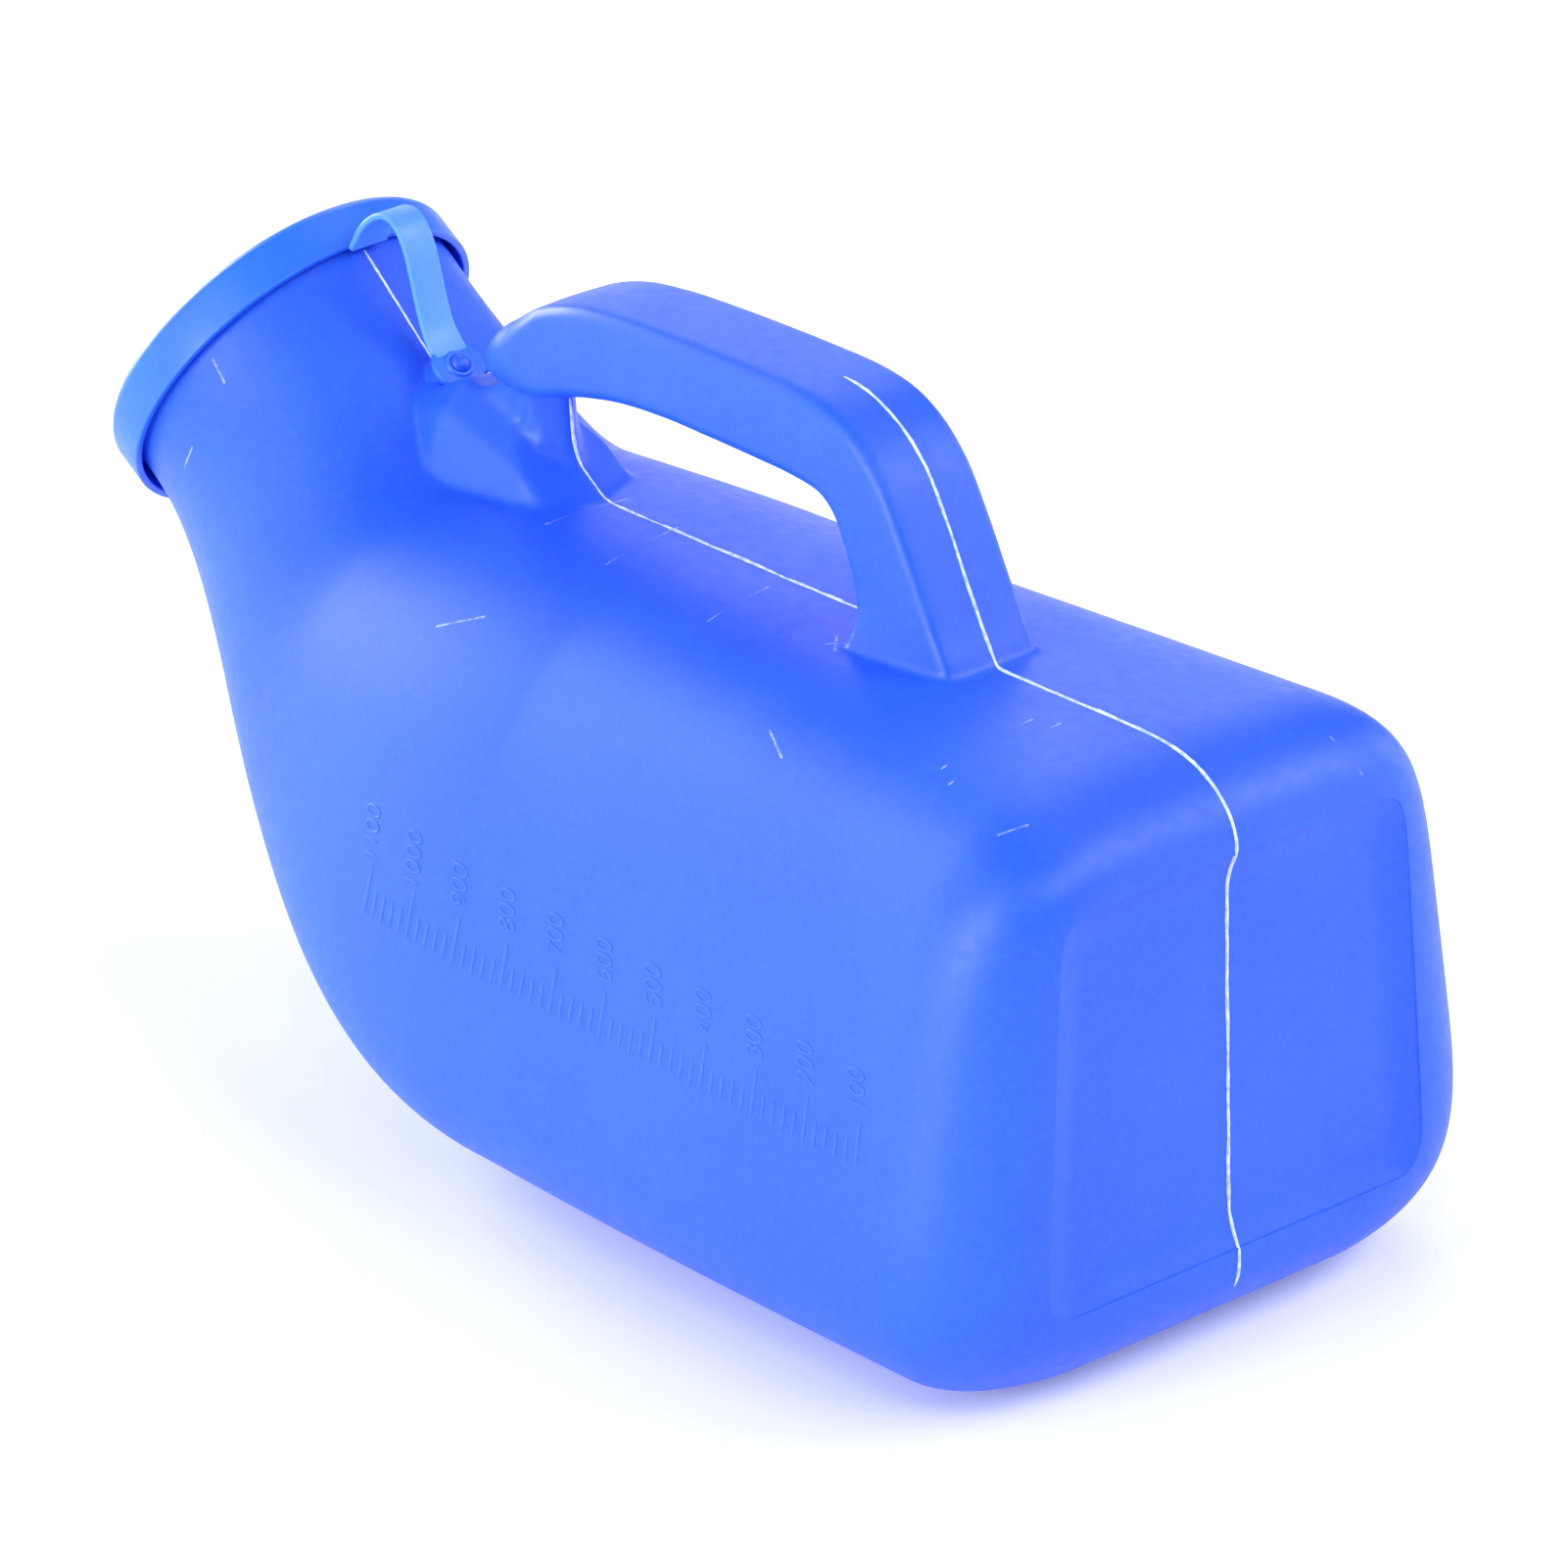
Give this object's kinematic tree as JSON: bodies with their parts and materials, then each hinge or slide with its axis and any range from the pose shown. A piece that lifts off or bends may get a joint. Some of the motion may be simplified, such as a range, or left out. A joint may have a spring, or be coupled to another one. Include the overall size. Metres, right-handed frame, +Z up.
{
  "type": "urine bottle",
  "caption": "Lying plastic urine bottle with a loop grip, slanted round mouth, snap lid on a flexible tether and raised volume marks.",
  "frame": {"origin": "centre of the bounding box in plan, at the level of the flat underside the bottle lies on", "axes": "+X from the base end to the mouth, +Z up with the bottle lying on its flat side, +Y to the side with the raised volume marks"},
  "size_m": [0.2389, 0.1162, 0.1333],
  "materials": {
    "body_plastic": "satin blow-moulded polyethylene, fine grain",
    "lid_plastic": "semi-gloss injection-moulded polyethylene",
    "flash_line": "stress-whitened moulding flash"
  },
  "bodies": {
    "bottle": {"bottle_shell": "body_plastic", "neck_shell": "body_plastic", "neck_rim": "body_plastic", "grip_handle": "body_plastic", "handle_web": "body_plastic", "parting_line": "flash_line", "volume_scale": "body_plastic", "tether_stud": "body_plastic", "tether_eyelet": "lid_plastic"},
    "tether": {"tether_strap": "lid_plastic"},
    "lid": {"lid_strap_tab": "lid_plastic", "lid_cap": "lid_plastic"}
  },
  "joints": [
    {"name": "strap_lean", "type": "hinge", "parent": "bottle", "child": "tether", "pos_m": [0.0595, 0, 0.1125], "axis": [0, -1, 0], "range_deg": [0, 21]},
    {"name": "lid_flip", "type": "hinge", "parent": "tether", "child": "lid", "pos_m": [0.0695, 0, 0.1314], "axis": [0, -1, 0], "range_deg": [0, 140]}
  ],
  "couplings": [
    {"joint": "strap_lean", "follows": "lid_flip", "ratio": 0.14}
  ]
}
